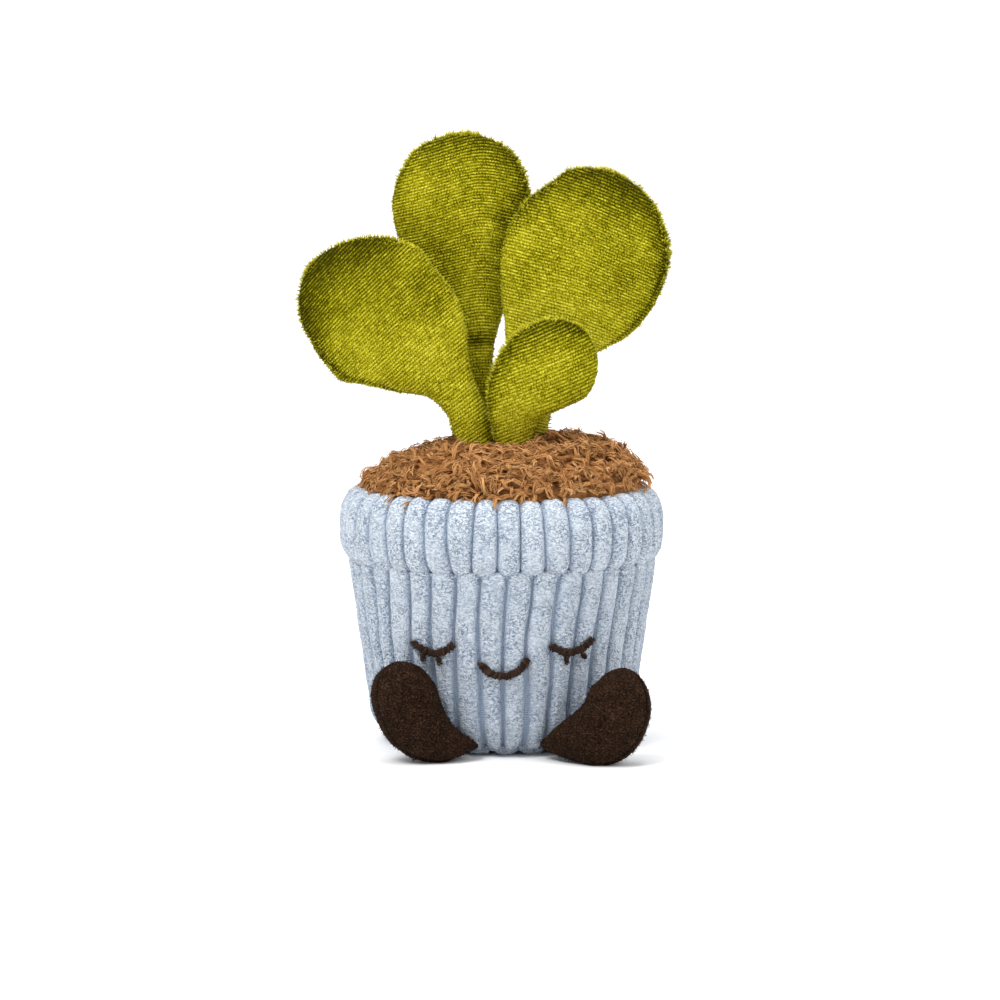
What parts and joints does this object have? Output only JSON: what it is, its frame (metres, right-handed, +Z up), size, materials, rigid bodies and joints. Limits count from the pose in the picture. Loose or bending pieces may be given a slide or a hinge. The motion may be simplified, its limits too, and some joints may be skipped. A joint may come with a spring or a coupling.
{
  "type": "plush potted plant toy",
  "caption": "Soft toy shaped as a potted rubber plant: a ribbed cord pot with closed eyes, a smile and feet, curly soil and padded velour leaves.",
  "frame": {"origin": "centre of the base's underside", "axes": "+Z up along the pot's axis, -Y towards the embroidered face, +X to the viewer's right"},
  "size_m": [0.0986, 0.0928, 0.164],
  "materials": {
    "cord": "pale blue wide-wale chenille cord, soft and matte",
    "fur": "brown curly pile, matte",
    "velour": "olive green ribbed stretch velour with a bright sheen",
    "suede": "dark brown brushed suedette, matte",
    "thread": "dark brown embroidery thread, satin",
    "fibre": "white polyester filling",
    "calico": "plain cotton bag of plastic beans"
  },
  "bodies": {
    "root": {"pot_wall": "cord", "pot_base": "cord", "rim_band": "cord", "soil_cap": "fur", "pot_filling": "fibre", "bean_bag": "calico", "leaf_left_front": "velour", "leaf_left_back": "velour", "leaf_left_filling": "fibre", "leaf_back_front": "velour", "leaf_back_back": "velour", "leaf_back_filling": "fibre", "leaf_right_front": "velour", "leaf_right_back": "velour", "leaf_right_filling": "fibre", "leaf_small_front": "velour", "leaf_small_back": "velour", "leaf_small_filling": "fibre", "foot_left_front": "suede", "foot_left_back": "suede", "foot_left_filling": "fibre", "foot_right_front": "suede", "foot_right_back": "suede", "foot_right_filling": "fibre", "smile": "thread", "left_eye": "thread", "right_eye": "thread", "left_lash_inner": "thread", "left_lash_outer": "thread", "right_lash_inner": "thread", "right_lash_outer": "thread"}
  },
  "joints": []
}
